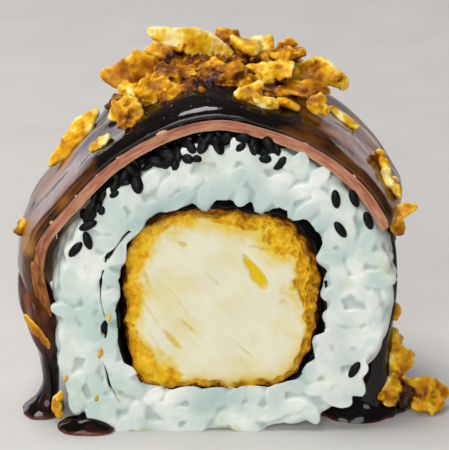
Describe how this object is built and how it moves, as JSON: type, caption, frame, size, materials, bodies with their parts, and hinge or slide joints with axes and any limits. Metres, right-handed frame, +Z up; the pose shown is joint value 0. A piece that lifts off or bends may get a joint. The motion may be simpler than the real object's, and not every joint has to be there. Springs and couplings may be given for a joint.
{
  "type": "uramaki sushi slice",
  "caption": "Slice of inside-out sushi roll: rice round nori and a fried cutlet, topped with a bent slice of beef, crisp onion and sweet soy sauce.",
  "frame": {"origin": "bottom centre of the bounding box, on the surface the slice stands on", "axes": "+Z up, -Y out of the cut face that is shown, so the roll's own axis lies along Y; +X to the right of that face"},
  "size_m": [0.0629, 0.0278, 0.0561],
  "materials": {
    "sushi_rice": "moist, slightly translucent cooked rice",
    "nori": "dark green-black dried seaweed sheet",
    "fried_cutlet": "pale cooked meat inside a golden fried crumb coat",
    "seared_beef": "seared beef, pink-brown at the cut edge, glazed on top",
    "crisp_onion": "craggy fried crumbs, golden to dark amber",
    "soy_glaze": "thick dark brown sauce, wet and glossy"
  },
  "bodies": {
    "root": {"rice": "sushi_rice", "nori": "nori", "cutlet": "fried_cutlet", "beef": "seared_beef", "crisps_top": "crisp_onion", "crisp_left": "crisp_onion", "crisps_right": "crisp_onion", "sauce_left": "soy_glaze", "sauce_puddle": "soy_glaze", "sauce_right": "soy_glaze"}
  },
  "joints": []
}
